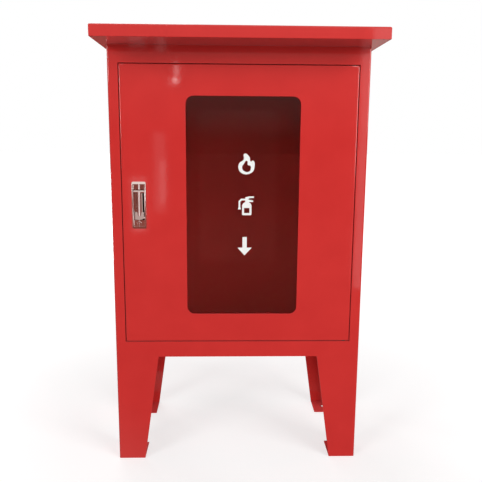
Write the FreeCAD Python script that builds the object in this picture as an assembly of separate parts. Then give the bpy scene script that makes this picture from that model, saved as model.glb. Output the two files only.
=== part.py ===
import FreeCAD, Part
import math
import os

# Storage cabinet for two hand extinguishers: a folded steel box on four tapered
# legs, with a box roof that overhangs the front, and an inset door with a window.
# Millimetres. X to the right, Y from front to back, Z up.
# The origin is on the floor, at the centre of the four anchor holes in the feet.

# Body
BODY_WIDTH = 400.0
BODY_DEPTH = 210.0
BODY_HEIGHT = 492.0
SHEET = 1.2
BEND = 2.5
FACE_RETURN = 20.0
TRAY_FLANGE = 15.0

# Roof
ROOF_HEIGHT = 17.0
ROOF_SIDE_OVERHANG = 10.0
ROOF_FRONT_OVERHANG = 70.0
ROOF_FLANGE = 12.0

# Legs
LEG_HEIGHT = 181.0
LEG_SHEET = 1.6
LEG_TOP_WIDTH = 69.0
LEG_TOP_DEPTH = 75.0
FOOT_WIDTH = 43.5
FOOT_DEPTH = 49.0
ANCHOR_HOLE = 9.0

# Doorway and door
DOOR_SIDE_MARGIN = 17.0
DOOR_TOP_MARGIN = 27.0
DOOR_BOTTOM_MARGIN = 27.0
DOOR_GAP = 1.0
DOOR_THICKNESS = 15.0
DOOR_BEND = 2.0
DOOR_FLANGE = 16.0
STOP_WIDTH = 12.0
SWING_CLEARANCE = 2.3

# Window
WINDOW_LEFT_MARGIN = 100.5
WINDOW_RIGHT_MARGIN = 88.5
WINDOW_END_MARGIN = 46.5
WINDOW_RADIUS = 12.0
GASKET_THICKNESS = 1.5
GASKET_SETBACK = 1.0
GASKET_WIDTH = 10.0
PANE_THICKNESS = 3.0
PANE_LAP = 12.0
RETAINER_SHEET = 1.0
RETAINER_LAP = 9.0
RETAINER_FLANGE = 12.0
RETAINER_PLAY = 1.0
STUDS_PER_SIDE = 2
STUDS_PER_END = 1

# Hinge
HINGE_INSET = 9.0
HINGE_SETBACK = 5.0
PIVOT_DIAMETER = 4.0
PIVOT_REACH = 8.0
BUSH_PAST_PIVOT = 1.0
PIVOT_HEAD = 7.0
PIVOT_HEAD_HEIGHT = 2.0
BUSH_DIAMETER = 6.5
BUSH_FLANGE = 9.0
HINGE_PLATE = 2.5
HINGE_PLATE_LENGTH = 30.0

# Handle
HANDLE_EDGE_DISTANCE = 26.5
HANDLE_RISE = 4.5
HANDLE_WIDTH = 22.4
HANDLE_HEIGHT = 74.0
HANDLE_CORNER = 3.0
HANDLE_PROUD = 2.0
HANDLE_ROUND = 1.2
HANDLE_RIM = 2.4
HANDLE_END_RIM = 3.8
HANDLE_RAMP = 3.6
HANDLE_RAMP_DROP = 1.6
HANDLE_BODY_DEPTH = 14.0
HANDLE_BODY_WALL = 1.6
HANDLE_BACK_WALL = 2.0
TOP_BLOCK_HEIGHT = 8.4
BOTTOM_BLOCK_HEIGHT = 9.8
BLOCK_SETBACK = 1.0
BLOCK_CROWN_RADIUS = 45.0
BRACKET_SHEET = 1.5
BRACKET_WIDTH = 14.0
BRACKET_RISE = 3.0
BRACKET_FOOT = 7.0

# Lever and release button
LEVER_HUB_RADIUS = 3.0
LEVER_PIN_DIAMETER = 2.0
LEVER_SIDE_PLAY = 0.4
LEVER_END_PLAY = 0.6
LEVER_STEM_WIDTH = 10.0
LEVER_FLANK_DROP = 2.4
LEVER_RIDGE_WIDTH = 3.4
LEVER_RIDGE_RADIUS = 45.0
LEVER_PAD_WIDTH = 13.0
LEVER_PAD_HEIGHT = 12.0
LEVER_PAD_LIFT = 0.8
LEVER_PAD_DROP = 1.2
LEVER_THICKNESS = 4.0
BUTTON_DIAMETER = 7.0
BUTTON_TRAVEL = 2.5
BUTTON_PROUD = 1.0
BUTTON_CHAMFER = 0.6
BUTTON_CROWN_RADIUS = 12.0
SPRING_SHEET = 0.4
SPRING_LEAVES = 3
SPRING_WIDTH = 4.0
SPRING_LENGTH = 5.0

# Catch and bumpers
CATCH_BELOW_DOOR_TOP = 106.0
CATCH_LENGTH = 50.0
CATCH_WIDTH = 13.0
CATCH_DEPTH = 12.0
MAGNET_LENGTH = 26.0
MAGNET_WIDTH = 6.0
BUMPER_DIAMETER = 9.0
BUMPER_TIP = 6.0
BUMPER_CORNER_DISTANCE = 60.0

# Fasteners
LEG_BOLT = 6.0
LEG_BOLT_FLATS = 10.0
LEG_NUT_HEIGHT = 5.0
LEG_BOLT_HEAD = 4.0
LEG_BOLT_PLACES = ((24.0, 55.0), (52.0, 35.0))
STUD = 4.0
STUD_NUT_FLATS = 7.0
STUD_NUT_HEIGHT = 3.2
SMALL_SCREW = 3.0
SMALL_HEAD = 5.0
SMALL_HEAD_HEIGHT = 1.6
THREAD_PAST_NUT = 1.0

# Fits
BOLT_CLEARANCE = 0.3
RUNNING_CLEARANCE = 0.05
THREAD_CLEARANCE = 0.04
SEAT_GAP = 0.3
BUTTON_CLEARANCE = 0.1
MAGNET_GAP = 0.1

# Places worked out from the sizes above
SIDE = BODY_WIDTH / 2
FRONT = -BODY_DEPTH / 2
BACK = BODY_DEPTH / 2
BODY_BOTTOM = LEG_HEIGHT
BODY_TOP = LEG_HEIGHT + BODY_HEIGHT
DOOR_HALF = SIDE - DOOR_SIDE_MARGIN
DOOR_BOTTOM = BODY_BOTTOM + DOOR_BOTTOM_MARGIN
DOOR_TOP = BODY_TOP - DOOR_TOP_MARGIN
DOOR_MIDDLE = (DOOR_BOTTOM + DOOR_TOP) / 2
DOOR_BACK = FRONT + DOOR_THICKNESS
SKIN_BACK = FRONT + SHEET
MOUTH_HALF = DOOR_HALF + DOOR_GAP
MOUTH_BOTTOM = DOOR_BOTTOM - DOOR_GAP
MOUTH_TOP = DOOR_TOP + DOOR_GAP
PIVOT_X = DOOR_HALF - HINGE_INSET
PIVOT_Y = FRONT + HINGE_SETBACK
CORNER_SWING = math.hypot(HINGE_INSET, DOOR_THICKNESS - HINGE_SETBACK)
STOP_FRONT = PIVOT_Y + CORNER_SWING + SWING_CLEARANCE
STOP_BACK = STOP_FRONT + SHEET
WINDOW_WIDTH = 2 * DOOR_HALF - WINDOW_LEFT_MARGIN - WINDOW_RIGHT_MARGIN
WINDOW_HEIGHT = DOOR_TOP - DOOR_BOTTOM - 2 * WINDOW_END_MARGIN
WINDOW_X = (WINDOW_LEFT_MARGIN - WINDOW_RIGHT_MARGIN) / 2
PANE_FRONT = SKIN_BACK + GASKET_THICKNESS
PANE_BACK = PANE_FRONT + PANE_THICKNESS
HANDLE_X = -DOOR_HALF + HANDLE_EDGE_DISTANCE
HANDLE_Z = DOOR_MIDDLE + HANDLE_RISE
HANDLE_FACE = FRONT - HANDLE_PROUD
HANDLE_BACK = FRONT + HANDLE_BODY_DEPTH
RECESS_HALF_WIDTH = HANDLE_WIDTH / 2 - HANDLE_RIM
RECESS_HALF_HEIGHT = HANDLE_HEIGHT / 2 - HANDLE_END_RIM
RECESS_FLOOR = HANDLE_BACK - HANDLE_BACK_WALL
BLOCK_FACE = HANDLE_FACE + BLOCK_SETBACK
TOP_BLOCK_BOTTOM = HANDLE_Z + RECESS_HALF_HEIGHT - TOP_BLOCK_HEIGHT
BOTTOM_BLOCK_TOP = HANDLE_Z - RECESS_HALF_HEIGHT + BOTTOM_BLOCK_HEIGHT
LEVER_PIVOT_Z = TOP_BLOCK_BOTTOM - LEVER_END_PLAY - LEVER_HUB_RADIUS
LEVER_PIVOT_Y = BLOCK_FACE + LEVER_HUB_RADIUS
LEVER_BOTTOM = BOTTOM_BLOCK_TOP + LEVER_END_PLAY
BUTTON_Z = BOTTOM_BLOCK_TOP - BOTTOM_BLOCK_HEIGHT / 2
BUTTON_FRONT = BLOCK_FACE - BUTTON_PROUD
BUTTON_BACK = RECESS_FLOOR - BUTTON_TRAVEL - (SPRING_LEAVES + 1) * SPRING_SHEET
CATCH_X = -MOUTH_HALF + STOP_WIDTH / 2
CATCH_Z = DOOR_TOP - CATCH_BELOW_DOOR_TOP

ALONG_X = FreeCAD.Vector(1, 0, 0)
ALONG_Y = FreeCAD.Vector(0, 1, 0)
ORIGIN = FreeCAD.Vector(0, 0, 0)


def box(x0, x1, y0, y1, z0, z1):
    return Part.makeBox(x1 - x0, y1 - y0, z1 - z0, FreeCAD.Vector(x0, y0, z0))


def rod(diameter, start, end):
    start = FreeCAD.Vector(*start)
    run = FreeCAD.Vector(*end) - start
    return Part.makeCylinder(diameter / 2, run.Length, start, run)


def hexagon(flats, x, y, z, height):
    radius = flats / math.sqrt(3)
    corners = []
    for turn in range(7):
        angle = turn * math.pi / 3
        corners.append(FreeCAD.Vector(x + radius * math.cos(angle), y + radius * math.sin(angle), z))
    return Part.Face(Part.makePolygon(corners)).extrude(FreeCAD.Vector(0, 0, height))


def prism(points, run):
    corners = [FreeCAD.Vector(*point) for point in points]
    return Part.Face(Part.makePolygon(corners + corners[:1])).extrude(FreeCAD.Vector(*run))


def join(shapes):
    return shapes[0].multiFuse(list(shapes[1:])).removeSplitter()


def round_edges(shape, radius, chosen):
    return shape.makeFillet(radius, [edge for edge in shape.Edges if chosen(edge.BoundBox)])


def rounded_slab(x, z, width, height, radius, front, back):
    """A slab facing the front, with its four corners rounded."""
    slab = box(x - width / 2, x + width / 2, front, back, z - height / 2, z + height / 2)
    return round_edges(slab, radius, lambda span: span.YLength > (back - front) / 2)


def mirrored(shape, normal):
    return shape.mirror(ORIGIN, normal)


def front_frame():
    """Front face of the body: outer returns, jambs folded inward and a door stop all round."""

    def folded(wall, front, depth, radius):
        block = box(-SIDE + wall, SIDE - wall, front, FRONT + depth, BODY_BOTTOM + wall, BODY_TOP - wall)
        return round_edges(
            block, radius, lambda span: span.ZLength > BODY_HEIGHT / 2 and span.YMax < front + wall + 1
        )

    skin = folded(0, FRONT, FACE_RETURN, BEND).cut(folded(SHEET, SKIN_BACK, FACE_RETURN + 1, BEND - SHEET))
    mouth = box(-MOUTH_HALF, MOUTH_HALF, FRONT - 1, STOP_BACK + 1, MOUTH_BOTTOM, MOUTH_TOP)
    jamb = box(
        -MOUTH_HALF - SHEET, MOUTH_HALF + SHEET, FRONT, STOP_BACK, MOUTH_BOTTOM - SHEET, MOUTH_TOP + SHEET
    )
    stop = box(-MOUTH_HALF, MOUTH_HALF, STOP_FRONT, STOP_BACK, MOUTH_BOTTOM, MOUTH_TOP)
    stop = stop.cut(
        box(
            -MOUTH_HALF + STOP_WIDTH,
            MOUTH_HALF - STOP_WIDTH,
            STOP_FRONT - 1,
            STOP_BACK + 1,
            MOUTH_BOTTOM + STOP_WIDTH,
            MOUTH_TOP - STOP_WIDTH,
        )
    )
    frame = join([skin.cut(mouth), jamb.cut(mouth), stop])
    frame = frame.cut(magnet_bar(SEAT_GAP, STOP_FRONT - 1, STOP_BACK + 1))
    for z in catch_screw_heights():
        frame = frame.cut(
            rod(SMALL_SCREW + 2 * BOLT_CLEARANCE, (CATCH_X, STOP_FRONT - 1, z), (CATCH_X, STOP_BACK + 1, z))
        )
    hole = PIVOT_DIAMETER + 2 * BOLT_CLEARANCE
    frame = frame.cut(rod(hole, (PIVOT_X, PIVOT_Y, MOUTH_TOP - 1), (PIVOT_X, PIVOT_Y, MOUTH_TOP + SHEET + 1)))
    return frame.cut(
        rod(hole, (PIVOT_X, PIVOT_Y, MOUTH_BOTTOM - SHEET - 1), (PIVOT_X, PIVOT_Y, MOUTH_BOTTOM + 1))
    )


def side_wrap():
    """Both sides and the back, folded from one sheet."""

    def folded(wall, radius):
        block = box(
            -SIDE + wall, SIDE - wall, FRONT + FACE_RETURN, BACK - wall, BODY_BOTTOM - wall, BODY_TOP + wall
        )
        return round_edges(
            block, radius, lambda span: span.ZLength > BODY_HEIGHT / 2 and span.YMin > BACK - wall - 1
        )

    outer = folded(0, BEND)
    return outer.cut(folded(SHEET, BEND - SHEET))


def tray(plate_z, flange_z):
    """A plate with a flange on each side, which closes the body above or below."""
    x = SIDE - SHEET
    y0 = FRONT + FACE_RETURN
    y1 = BACK - SHEET
    low = min(plate_z, flange_z)
    high = max(plate_z, flange_z)
    block = box(-x, x, y0, y1, low, high)
    block = round_edges(
        block, BEND - SHEET, lambda span: span.ZLength > TRAY_FLANGE / 2 and span.YMin > y1 - 1
    )
    inside = SHEET if flange_z > plate_z else -SHEET
    hollow = box(
        -x + SHEET,
        x - SHEET,
        y0 + SHEET,
        y1 - SHEET,
        min(plate_z + inside, flange_z + inside),
        max(plate_z + inside, flange_z + inside),
    )
    return block.cut(hollow)


def floor_panel():
    panel = tray(BODY_BOTTOM, BODY_BOTTOM + TRAY_FLANGE)
    for x, y in leg_bolt_places():
        panel = panel.cut(
            rod(LEG_BOLT + 2 * BOLT_CLEARANCE, (x, y, BODY_BOTTOM - 1), (x, y, BODY_BOTTOM + SHEET + 1))
        )
    return panel


def top_panel():
    return tray(BODY_TOP, BODY_TOP - TRAY_FLANGE)


def roof_block(wall, bottom, height, radius):
    side = SIDE + ROOF_SIDE_OVERHANG - wall
    front = FRONT - ROOF_FRONT_OVERHANG + wall
    top = bottom + height
    block = box(-side, side, front, BACK - wall, bottom, top)
    if radius:
        block = round_edges(block, radius, lambda span: span.ZLength < 1 and span.ZMin > top - 1)
    return block


def roof_cap():
    """Top of the roof, with a lip folded down on all four sides."""
    outer = roof_block(0, BODY_TOP, ROOF_HEIGHT, BEND)
    return outer.cut(roof_block(SHEET, BODY_TOP - SHEET, ROOF_HEIGHT, BEND - SHEET))


def roof_base():
    """Flat underside of the roof, with flanges turned up inside the lip."""
    pan = roof_block(SHEET, BODY_TOP, ROOF_FLANGE, 0)
    return pan.cut(roof_block(2 * SHEET, BODY_TOP + SHEET, ROOF_FLANGE, 0))


def leg():
    """Front left leg: a folded angle that tapers to the floor, with a cap plate and a foot plate."""
    x = -SIDE
    y = FRONT

    def angle(wall, radius):
        block = box(
            x + wall, x + LEG_TOP_WIDTH + wall, y + wall, y + LEG_TOP_DEPTH + wall, -wall, LEG_HEIGHT + wall
        )
        upright = LEG_HEIGHT / 2
        near = wall + 1
        return round_edges(
            block,
            radius,
            lambda span: span.ZLength > upright and span.XMax < x + near and span.YMax < y + near,
        )

    inner_x = x + LEG_SHEET
    inner_y = y + LEG_SHEET
    sheet = angle(0, BEND).cut(angle(LEG_SHEET, BEND - LEG_SHEET))
    cap = box(inner_x, x + LEG_TOP_WIDTH, inner_y, y + LEG_TOP_DEPTH, LEG_HEIGHT - LEG_SHEET, LEG_HEIGHT)
    foot = box(inner_x, x + FOOT_WIDTH, inner_y, y + FOOT_DEPTH, 0, LEG_SHEET)
    whole = join([sheet, cap, foot])
    past = LEG_HEIGHT + 1
    front_slant = [
        (x + FOOT_WIDTH, y - 1, 0),
        (x + LEG_TOP_WIDTH, y - 1, LEG_HEIGHT - LEG_SHEET),
        (x + past, y - 1, LEG_HEIGHT - LEG_SHEET),
        (x + past, y - 1, -1),
        (x + FOOT_WIDTH, y - 1, -1),
    ]
    side_slant = [
        (x - 1, y + FOOT_DEPTH, 0),
        (x - 1, y + LEG_TOP_DEPTH, LEG_HEIGHT - LEG_SHEET),
        (x - 1, y + past, LEG_HEIGHT - LEG_SHEET),
        (x - 1, y + past, -1),
        (x - 1, y + FOOT_DEPTH, -1),
    ]
    whole = whole.cut(prism(front_slant, (0, LEG_TOP_DEPTH + 2, 0)))
    whole = whole.cut(prism(side_slant, (LEG_TOP_WIDTH + 2, 0, 0)))
    anchor = (x + FOOT_WIDTH / 2, y + FOOT_DEPTH / 2)
    whole = whole.cut(rod(ANCHOR_HOLE, (*anchor, -1), (*anchor, LEG_SHEET + 1)))
    for bolt_x, bolt_y in LEG_BOLT_PLACES:
        place = (x + bolt_x, y + bolt_y)
        whole = whole.cut(
            rod(LEG_BOLT + 2 * BOLT_CLEARANCE, (*place, LEG_HEIGHT - LEG_SHEET - 1), (*place, LEG_HEIGHT + 1))
        )
    return whole


def leg_bolt_places():
    places = []
    for side in (-1, 1):
        for end in (-1, 1):
            places += [(side * (SIDE - x), end * (BACK - y)) for x, y in LEG_BOLT_PLACES]
    return places


def leg_bolts():
    seat = LEG_HEIGHT - LEG_SHEET
    tip = BODY_BOTTOM + SHEET + LEG_NUT_HEIGHT + THREAD_PAST_NUT
    bolts = []
    for x, y in leg_bolt_places():
        head = hexagon(LEG_BOLT_FLATS, x, y, seat - LEG_BOLT_HEAD, LEG_BOLT_HEAD)
        bolts.append(join([head, rod(LEG_BOLT, (x, y, seat), (x, y, tip))]))
    return Part.makeCompound(bolts)


def leg_nuts():
    seat = BODY_BOTTOM + SHEET
    nuts = []
    for x, y in leg_bolt_places():
        bore = rod(LEG_BOLT + 2 * THREAD_CLEARANCE, (x, y, seat - 1), (x, y, seat + LEG_NUT_HEIGHT + 1))
        nuts.append(hexagon(LEG_BOLT_FLATS, x, y, seat, LEG_NUT_HEIGHT).cut(bore))
    return Part.makeCompound(nuts)


def hinge_side(top):
    """Height of the jamb face, the direction out of the doorway and the door's edge, above or below."""
    if top:
        return MOUTH_TOP, 1, DOOR_TOP
    return MOUTH_BOTTOM, -1, DOOR_BOTTOM


def hinge_plate(top):
    """Steel plate welded behind the jamb, which carries the hinge pin."""
    jamb, out, _ = hinge_side(top)
    seat = jamb + out * SHEET
    far = seat + out * HINGE_PLATE
    plate = box(
        MOUTH_HALF - HINGE_PLATE_LENGTH, MOUTH_HALF, SKIN_BACK, STOP_FRONT, min(seat, far), max(seat, far)
    )
    hole = PIVOT_DIAMETER + 2 * THREAD_CLEARANCE
    return plate.cut(rod(hole, (PIVOT_X, PIVOT_Y, seat - out), (PIVOT_X, PIVOT_Y, far + out)))


def hinge_pin(top):
    jamb, out, edge = hinge_side(top)
    seat = jamb + out * (SHEET + HINGE_PLATE)
    shank = rod(PIVOT_DIAMETER, (PIVOT_X, PIVOT_Y, seat), (PIVOT_X, PIVOT_Y, edge - out * PIVOT_REACH))
    head = rod(PIVOT_HEAD, (PIVOT_X, PIVOT_Y, seat), (PIVOT_X, PIVOT_Y, seat + out * PIVOT_HEAD_HEIGHT))
    return join([shank, head])


def hinge_bush(top):
    """Nylon bush in the door's edge, with a flange that keeps the door off the jamb."""
    jamb, out, edge = hinge_side(top)
    end = edge - out * (PIVOT_REACH + BUSH_PAST_PIVOT)
    body = rod(BUSH_DIAMETER, (PIVOT_X, PIVOT_Y, edge), (PIVOT_X, PIVOT_Y, end))
    flange = rod(BUSH_FLANGE, (PIVOT_X, PIVOT_Y, edge), (PIVOT_X, PIVOT_Y, jamb - out * SEAT_GAP))
    bore = rod(
        PIVOT_DIAMETER + 2 * RUNNING_CLEARANCE, (PIVOT_X, PIVOT_Y, jamb), (PIVOT_X, PIVOT_Y, end - out)
    )
    return join([body, flange]).cut(bore)


def door_panel():
    """Folded door pan: face, four returns, four back flanges, and cut-outs for window and handle."""

    def folded(wall, front, back, radius):
        block = box(
            -DOOR_HALF + wall, DOOR_HALF - wall, front, back, DOOR_BOTTOM + wall, DOOR_TOP - wall
        )
        return round_edges(block, radius, lambda span: span.YLength < 1 and span.YMax < front + 1)

    pan = folded(0, FRONT, DOOR_BACK, DOOR_BEND).cut(
        folded(SHEET, SKIN_BACK, DOOR_BACK - SHEET, DOOR_BEND - SHEET)
    )
    pan = pan.cut(
        box(
            -DOOR_HALF + DOOR_FLANGE,
            DOOR_HALF - DOOR_FLANGE,
            DOOR_BACK - SHEET - 1,
            DOOR_BACK + 1,
            DOOR_BOTTOM + DOOR_FLANGE,
            DOOR_TOP - DOOR_FLANGE,
        )
    )
    pan = pan.cut(window_slab(0, WINDOW_RADIUS, FRONT - 1, SKIN_BACK + 1))
    pan = pan.cut(handle_body(SEAT_GAP, FRONT - 1, SKIN_BACK + 1))
    hole = BUSH_DIAMETER + 2 * THREAD_CLEARANCE
    for edge in (DOOR_TOP, DOOR_BOTTOM):
        pan = pan.cut(
            rod(hole, (PIVOT_X, PIVOT_Y, edge - 2 * SHEET), (PIVOT_X, PIVOT_Y, edge + 2 * SHEET))
        )
    return pan


def window_slab(growth, radius, front, back):
    """Slab the shape of the window, grown on every side."""
    return rounded_slab(
        WINDOW_X, DOOR_MIDDLE, WINDOW_WIDTH + 2 * growth, WINDOW_HEIGHT + 2 * growth, radius, front, back
    )


def window_gasket():
    outer = window_slab(GASKET_SETBACK + GASKET_WIDTH, WINDOW_RADIUS / 2, SKIN_BACK, PANE_FRONT)
    return outer.cut(
        window_slab(GASKET_SETBACK, WINDOW_RADIUS + GASKET_SETBACK, SKIN_BACK - 1, PANE_FRONT + 1)
    )


def window_pane():
    return window_slab(PANE_LAP, WINDOW_RADIUS / 2, PANE_FRONT, PANE_BACK)


def pane_frame():
    """Stepped steel frame that clamps the pane against the gasket."""
    step = PANE_LAP + RETAINER_PLAY
    corner = WINDOW_RADIUS / 2
    outer = step + RETAINER_SHEET + RETAINER_FLANGE
    flange = window_slab(outer, corner, SKIN_BACK, SKIN_BACK + RETAINER_SHEET)
    raised = window_slab(step + RETAINER_SHEET, corner, SKIN_BACK, PANE_BACK + RETAINER_SHEET)
    frame = join([flange, raised]).cut(window_slab(step, corner, SKIN_BACK - 1, PANE_BACK))
    frame = frame.cut(
        window_slab(PANE_LAP - RETAINER_LAP, WINDOW_RADIUS, PANE_BACK - 1, PANE_BACK + RETAINER_SHEET + 1)
    )
    for x, z in stud_places():
        frame = frame.cut(
            rod(STUD + 2 * BOLT_CLEARANCE, (x, SKIN_BACK - 1, z), (x, SKIN_BACK + RETAINER_SHEET + 1, z))
        )
    return frame


def stud_places():
    """Studs in the middle of the frame's outer flange, spread along its four sides."""
    reach = PANE_LAP + RETAINER_PLAY + RETAINER_SHEET + RETAINER_FLANGE / 2
    half_width = WINDOW_WIDTH / 2 + reach
    half_height = WINDOW_HEIGHT / 2 + reach
    places = []
    for count in range(STUDS_PER_SIDE):
        z = DOOR_MIDDLE + half_height * ((2 * count + 1) / STUDS_PER_SIDE - 1)
        places += [(WINDOW_X - half_width, z), (WINDOW_X + half_width, z)]
    for count in range(STUDS_PER_END):
        x = WINDOW_X + half_width * ((2 * count + 1) / STUDS_PER_END - 1)
        places += [(x, DOOR_MIDDLE - half_height), (x, DOOR_MIDDLE + half_height)]
    return places


def pane_studs():
    tip = SKIN_BACK + RETAINER_SHEET + STUD_NUT_HEIGHT + THREAD_PAST_NUT
    return Part.makeCompound([rod(STUD, (x, SKIN_BACK, z), (x, tip, z)) for x, z in stud_places()])


def pane_nuts():
    seat = SKIN_BACK + RETAINER_SHEET
    nuts = []
    for x, z in stud_places():
        nut = hexagon(STUD_NUT_FLATS, 0, 0, 0, STUD_NUT_HEIGHT)
        nut = nut.cut(rod(STUD + 2 * THREAD_CLEARANCE, (0, 0, -1), (0, 0, STUD_NUT_HEIGHT + 1)))
        nut.rotate(ORIGIN, ALONG_X, -90)
        nut.translate(FreeCAD.Vector(x, seat, z))
        nuts.append(nut)
    return Part.makeCompound(nuts)


def handle_body(growth, front, back):
    """Slab the shape of the housing's body, which passes through the door's skin."""
    width = 2 * (RECESS_HALF_WIDTH + HANDLE_BODY_WALL + growth)
    height = 2 * (RECESS_HALF_HEIGHT + HANDLE_BODY_WALL + growth)
    corner = HANDLE_CORNER - HANDLE_BODY_WALL + growth
    return rounded_slab(HANDLE_X, HANDLE_Z, width, height, corner, front, back)


def crowned(shape, front, radius):
    """A piece of the handle with its face curved across, highest on the middle line at front."""
    return shape.common(
        rod(
            2 * radius,
            (HANDLE_X, front + radius, HANDLE_Z - HANDLE_HEIGHT),
            (HANDLE_X, front + radius, HANDLE_Z + HANDLE_HEIGHT),
        )
    )


def handle_rim():
    """Rim on the door's face, rounded along its sides and sloped at its top and bottom ends."""
    rim = rounded_slab(HANDLE_X, HANDLE_Z, HANDLE_WIDTH, HANDLE_HEIGHT, HANDLE_CORNER, HANDLE_FACE, FRONT)
    face = HANDLE_FACE + 0.1
    rim = round_edges(rim, HANDLE_ROUND, lambda span: span.YLength < 0.1 and span.YMax < face)
    left = HANDLE_X - HANDLE_WIDTH
    half = HANDLE_HEIGHT / 2
    side_view = [
        (left, FRONT, HANDLE_Z - half),
        (left, HANDLE_FACE + HANDLE_RAMP_DROP, HANDLE_Z - half),
        (left, HANDLE_FACE, HANDLE_Z - half + HANDLE_RAMP),
        (left, HANDLE_FACE, HANDLE_Z + half - HANDLE_RAMP),
        (left, HANDLE_FACE + HANDLE_RAMP_DROP, HANDLE_Z + half),
        (left, FRONT, HANDLE_Z + half),
    ]
    return rim.common(prism(side_view, (2 * HANDLE_WIDTH, 0, 0)))


def handle_housing():
    """Die-cast housing: rim, recess, fixed top block and button block."""
    recess = rounded_slab(
        HANDLE_X,
        HANDLE_Z,
        2 * RECESS_HALF_WIDTH,
        2 * RECESS_HALF_HEIGHT,
        HANDLE_CORNER - HANDLE_BODY_WALL,
        HANDLE_FACE - 1,
        RECESS_FLOOR,
    )
    shell = join([handle_rim(), handle_body(0, FRONT, HANDLE_BACK)]).cut(recess)
    left = HANDLE_X - RECESS_HALF_WIDTH - HANDLE_BODY_WALL / 2
    right = HANDLE_X + RECESS_HALF_WIDTH + HANDLE_BODY_WALL / 2
    top_block = box(left, right, BLOCK_FACE, RECESS_FLOOR, TOP_BLOCK_BOTTOM, HANDLE_Z + RECESS_HALF_HEIGHT)
    top_block = crowned(top_block, BLOCK_FACE, BLOCK_CROWN_RADIUS)
    button_block = box(left, right, BLOCK_FACE, RECESS_FLOOR, HANDLE_Z - RECESS_HALF_HEIGHT, BOTTOM_BLOCK_TOP)
    button_block = crowned(button_block, BLOCK_FACE, BLOCK_CROWN_RADIUS)
    housing = join([shell, top_block, button_block])
    housing = housing.cut(
        rod(
            BUTTON_DIAMETER + 2 * BUTTON_CLEARANCE,
            (HANDLE_X, HANDLE_FACE - 1, BUTTON_Z),
            (HANDLE_X, RECESS_FLOOR, BUTTON_Z),
        )
    )
    housing = housing.cut(lever_pin_rod(THREAD_CLEARANCE))
    for z in handle_screw_heights():
        housing = housing.cut(
            rod(
                SMALL_SCREW + 2 * THREAD_CLEARANCE,
                (HANDLE_X, RECESS_FLOOR - HANDLE_BACK_WALL, z),
                (HANDLE_X, HANDLE_BACK + 1, z),
            )
        )
    return housing


def lever_pin_rod(clearance):
    half = RECESS_HALF_WIDTH + HANDLE_BODY_WALL / 2 + clearance
    return rod(
        LEVER_PIN_DIAMETER + 2 * clearance,
        (HANDLE_X - half, LEVER_PIVOT_Y, LEVER_PIVOT_Z),
        (HANDLE_X + half, LEVER_PIVOT_Y, LEVER_PIVOT_Z),
    )


def lever_pin():
    return lever_pin_rod(0)


def handle_lever():
    """Pull lever: full-width hub on the pin, ridged stem and a tilted finger pad at the free end."""
    hub_half = RECESS_HALF_WIDTH - LEVER_SIDE_PLAY
    hub = rod(
        2 * LEVER_HUB_RADIUS,
        (HANDLE_X - hub_half, LEVER_PIVOT_Y, LEVER_PIVOT_Z),
        (HANDLE_X + hub_half, LEVER_PIVOT_Y, LEVER_PIVOT_Z),
    )
    stem_half = LEVER_STEM_WIDTH / 2
    ridge_half = LEVER_RIDGE_WIDTH / 2
    stem_back = BLOCK_FACE + LEVER_THICKNESS
    stem_end = LEVER_BOTTOM + LEVER_PAD_HEIGHT / 2
    cross_section = [
        (HANDLE_X - stem_half, stem_back, stem_end),
        (HANDLE_X - stem_half, BLOCK_FACE + LEVER_FLANK_DROP, stem_end),
        (HANDLE_X - ridge_half, BLOCK_FACE, stem_end),
        (HANDLE_X + ridge_half, BLOCK_FACE, stem_end),
        (HANDLE_X + stem_half, BLOCK_FACE + LEVER_FLANK_DROP, stem_end),
        (HANDLE_X + stem_half, stem_back, stem_end),
    ]
    stem = prism(cross_section, (0, 0, LEVER_PIVOT_Z - stem_end))
    stem = crowned(stem, BLOCK_FACE, LEVER_RIDGE_RADIUS)
    pad_left = HANDLE_X - LEVER_PAD_WIDTH / 2
    pad_top = LEVER_BOTTOM + LEVER_PAD_HEIGHT
    pad_side = [
        (pad_left, stem_back, LEVER_BOTTOM),
        (pad_left, BLOCK_FACE - LEVER_PAD_LIFT, LEVER_BOTTOM),
        (pad_left, BLOCK_FACE + LEVER_PAD_DROP, pad_top),
        (pad_left, stem_back, pad_top),
    ]
    pad = prism(pad_side, (LEVER_PAD_WIDTH, 0, 0))
    end = rod(
        2 * LEVER_PAD_HEIGHT,
        (HANDLE_X, BLOCK_FACE - LEVER_PAD_LIFT - 1, pad_top),
        (HANDLE_X, stem_back + 1, pad_top),
    )
    lever = join([hub, stem, pad.common(end)])
    bore = rod(
        LEVER_PIN_DIAMETER + 2 * RUNNING_CLEARANCE,
        (HANDLE_X - hub_half - 1, LEVER_PIVOT_Y, LEVER_PIVOT_Z),
        (HANDLE_X + hub_half + 1, LEVER_PIVOT_Y, LEVER_PIVOT_Z),
    )
    return lever.cut(bore)


def release_button():
    button = rod(BUTTON_DIAMETER, (HANDLE_X, BUTTON_FRONT, BUTTON_Z), (HANDLE_X, BUTTON_BACK, BUTTON_Z))
    rim = [edge for edge in button.Edges if edge.BoundBox.YMax < BUTTON_FRONT + 0.1]
    return crowned(button.makeChamfer(BUTTON_CHAMFER, rim), BUTTON_FRONT, BUTTON_CROWN_RADIUS)


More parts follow.
